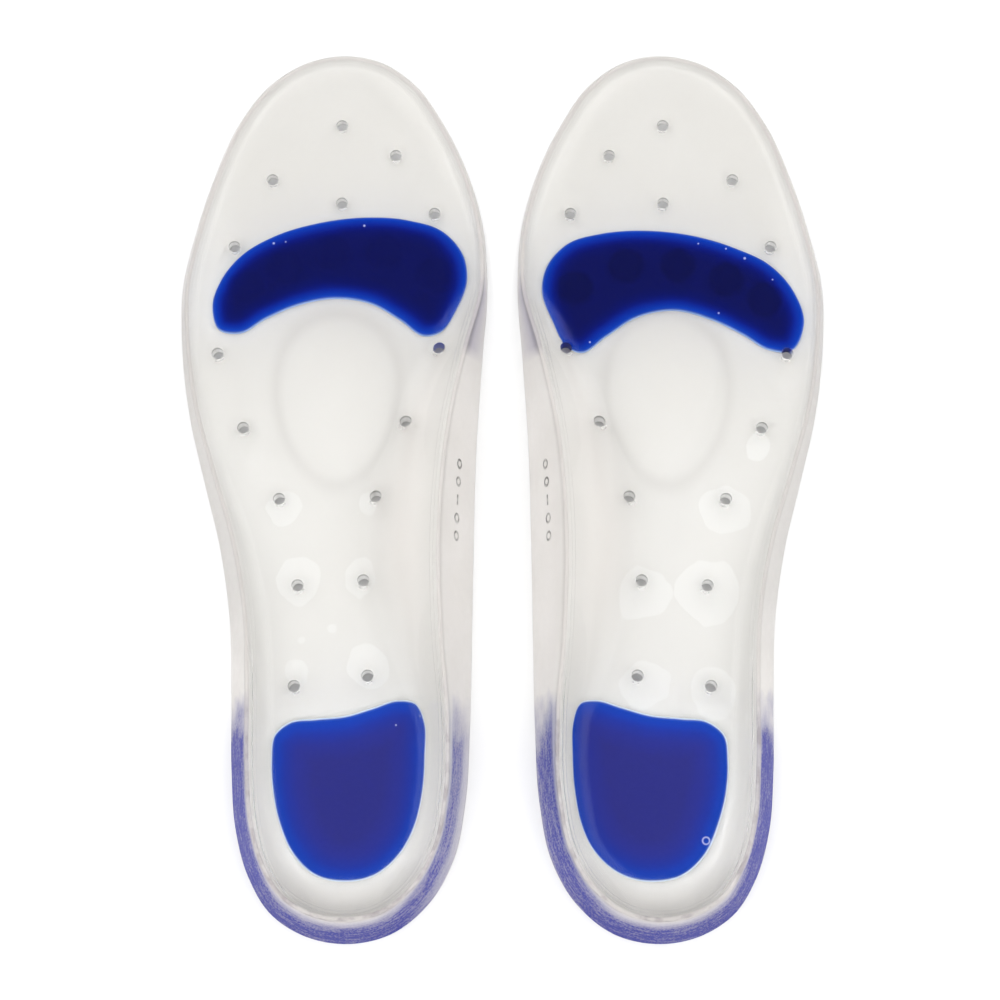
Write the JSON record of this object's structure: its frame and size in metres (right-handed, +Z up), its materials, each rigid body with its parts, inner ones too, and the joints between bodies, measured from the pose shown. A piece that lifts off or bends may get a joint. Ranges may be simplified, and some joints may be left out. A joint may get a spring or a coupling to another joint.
{
  "type": "pair of cushioned gel insoles",
  "caption": "Left and right full-length clear gel insoles with a deep heel cup, raised arch, vent holes and blue cushioning pads under the ball of the foot and the heel.",
  "frame": {"origin": "centre of the pair's footprint, on the flat undersides", "axes": "+Y towards the toes, +Z up out of the footbeds, +X to the right foot's side"},
  "size_m": [0.204, 0.2854, 0.0225],
  "materials": {
    "left_clear_gel": "clear, faintly milky soft gel, glossy on the footbed, fine matt grain on the side walls",
    "left_blue_forefoot": "deep blue translucent soft gel, brighter where it thins at the edge",
    "left_blue_heel": "deep blue translucent soft gel seen through thick clear gel",
    "right_clear_gel": "clear, faintly milky soft gel, glossy on the footbed, fine matt grain on the side walls",
    "right_blue_forefoot": "deep blue translucent soft gel, brighter where it thins at the edge",
    "right_blue_heel": "deep blue translucent soft gel seen through thick clear gel"
  },
  "bodies": {
    "left_insole": {"left_gel_body": "left_clear_gel", "left_forefoot_pad": "left_blue_forefoot", "left_heel_pad": "left_blue_heel"},
    "right_insole": {"right_gel_body": "right_clear_gel", "right_forefoot_pad": "right_blue_forefoot", "right_heel_pad": "right_blue_heel"}
  },
  "joints": [
    {"name": "right_insole_lift", "type": "slide", "parent": "left_insole", "child": "right_insole", "axis": [0, 0, 1], "range_m": [0, 0.08]}
  ]
}
